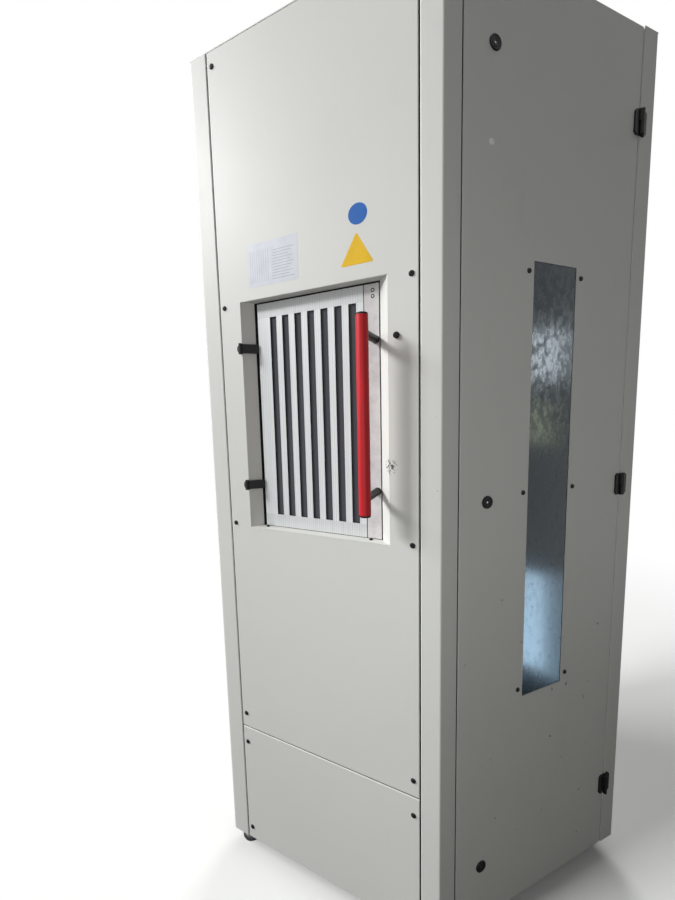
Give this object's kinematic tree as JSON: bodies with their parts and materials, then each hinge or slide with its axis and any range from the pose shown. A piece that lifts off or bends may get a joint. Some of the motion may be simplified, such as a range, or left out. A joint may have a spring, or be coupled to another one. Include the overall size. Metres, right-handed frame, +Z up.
{
  "type": "tool magazine tower",
  "caption": "Tall five-sided sheet-metal tower for a machining centre's tool magazine: angled face with a slotted loading hatch, long window door, carousel and lift inside.",
  "frame": {"origin": "on the floor, under the middle of the whole box of the tower", "axes": "+Z up; +X along the window door from the near corner to the door hinges; +Y from the window door towards the machine side"},
  "size_m": [1.3828, 0.6542, 2.9],
  "materials": {
    "powder_coat": "fine-textured light grey powder coat",
    "dark_coat": "dark grey powder coat",
    "motor_coat": "satin charcoal enamel",
    "black_hardware": "satin black",
    "black_plastic": "moulded black, fine grain",
    "rubber_seal": "matt black",
    "white_plastic": "light grey, semi-gloss",
    "red_coat": "semi-gloss red",
    "smoked_window": "smoked polycarbonate",
    "smoked_hatch": "dark smoked polycarbonate",
    "zinc_steel": "bright zinc",
    "carousel_steel": "satin grey enamel",
    "anodised": "clear anodised"
  },
  "bodies": {
    "tower": {"base_plate": "dark_coat", "levelling_feet": "zinc_steel", "post_near": "powder_coat", "post_left": "powder_coat", "post_right": "powder_coat", "post_rear": "powder_coat", "roof_panel": "powder_coat", "upper_front_panel": "powder_coat", "lower_front_panel": "powder_coat", "hatch_frame": "powder_coat", "end_panel": "powder_coat", "back_panel_left": "powder_coat", "back_panel_right": "powder_coat", "panel_screws": "black_hardware", "hatch_bumper": "rubber_seal", "hatch_switch": "black_plastic", "door_hinge_base_1": "black_hardware", "door_hinge_base_2": "black_hardware", "door_hinge_base_3": "black_hardware", "hatch_hinge_base_lower": "black_hardware", "hatch_hinge_base_upper": "black_hardware", "carousel_pedestal": "dark_coat", "carousel_motor": "motor_coat", "top_bearing": "carousel_steel", "lift_column": "anodised", "lift_motor": "motor_coat"},
    "door": {"side_door": "powder_coat", "door_window": "smoked_window", "window_retainer": "dark_coat", "window_screws": "black_hardware", "door_seal": "rubber_seal", "door_plug": "white_plastic", "door_hinge_leaf_1": "black_hardware", "door_hinge_leaf_2": "black_hardware", "door_hinge_leaf_3": "black_hardware", "lock_housing_1": "black_plastic", "lock_housing_2": "black_plastic", "lock_housing_3": "black_plastic"},
    "lock_lower": {"lock_cam_1": "zinc_steel"},
    "lock_middle": {"lock_cam_2": "zinc_steel"},
    "lock_upper": {"lock_cam_3": "zinc_steel"},
    "hatch": {"hatch_leaf": "powder_coat", "hatch_cover": "powder_coat", "hatch_edge_strip": "powder_coat", "hatch_pane": "smoked_hatch", "hatch_actuator": "zinc_steel", "hatch_hinge_arm_lower": "black_hardware", "hatch_hinge_arm_upper": "black_hardware", "handle_tube": "red_coat", "handle_legs": "black_hardware", "handle_caps": "black_plastic"},
    "carousel": {"carousel_column": "carousel_steel", "ring_discs": "zinc_steel", "tool_forks_1": "black_plastic", "tool_forks_2": "black_plastic", "tool_forks_3": "black_plastic", "ring_gear": "zinc_steel"},
    "pinion": {"drive_pinion": "zinc_steel"},
    "lift": {"lift_carriage": "anodised"},
    "gripper": {"tool_gripper": "black_hardware"}
  },
  "joints": [
    {"name": "door_hinge", "type": "hinge", "parent": "tower", "child": "door", "pos_m": [0.62338, -0.32013, 1.469], "axis": [0, 0, 1], "range_deg": [0, 110]},
    {"name": "lock_lower_turn", "type": "hinge", "parent": "door", "child": "lock_lower", "pos_m": [0.04038, -0.31263, 0.263], "axis": [0, -1, 0], "range_deg": [0, 90]},
    {"name": "lock_middle_turn", "type": "hinge", "parent": "door", "child": "lock_middle", "pos_m": [0.04038, -0.31263, 1.467], "axis": [0, -1, 0], "range_deg": [0, 90]},
    {"name": "lock_upper_turn", "type": "hinge", "parent": "door", "child": "lock_upper", "pos_m": [0.04038, -0.31263, 2.671], "axis": [0, -1, 0], "range_deg": [0, 90]},
    {"name": "hatch_hinge", "type": "hinge", "parent": "tower", "child": "hatch", "pos_m": [-0.58743, 0.14487, 1.727], "axis": [0, 0, -1], "range_deg": [0, 105]},
    {"name": "carousel_spin", "type": "hinge", "parent": "tower", "child": "carousel", "pos_m": [0.28188, 0.01025, 0.36], "axis": [0, 0, 1], "continuous": true},
    {"name": "pinion_spin", "type": "hinge", "parent": "tower", "child": "pinion", "pos_m": [0.46938, 0.01025, 0.38], "axis": [0, 0, 1], "continuous": true},
    {"name": "lift_slide", "type": "slide", "parent": "tower", "child": "lift", "axis": [0, 0, 1], "range_m": [-1.12, 0]},
    {"name": "gripper_slide", "type": "slide", "parent": "lift", "child": "gripper", "axis": [1, 0, 0], "range_m": [0, 0.225]}
  ],
  "couplings": [
    {"joint": "pinion_spin", "follows": "carousel_spin", "ratio": -4}
  ]
}
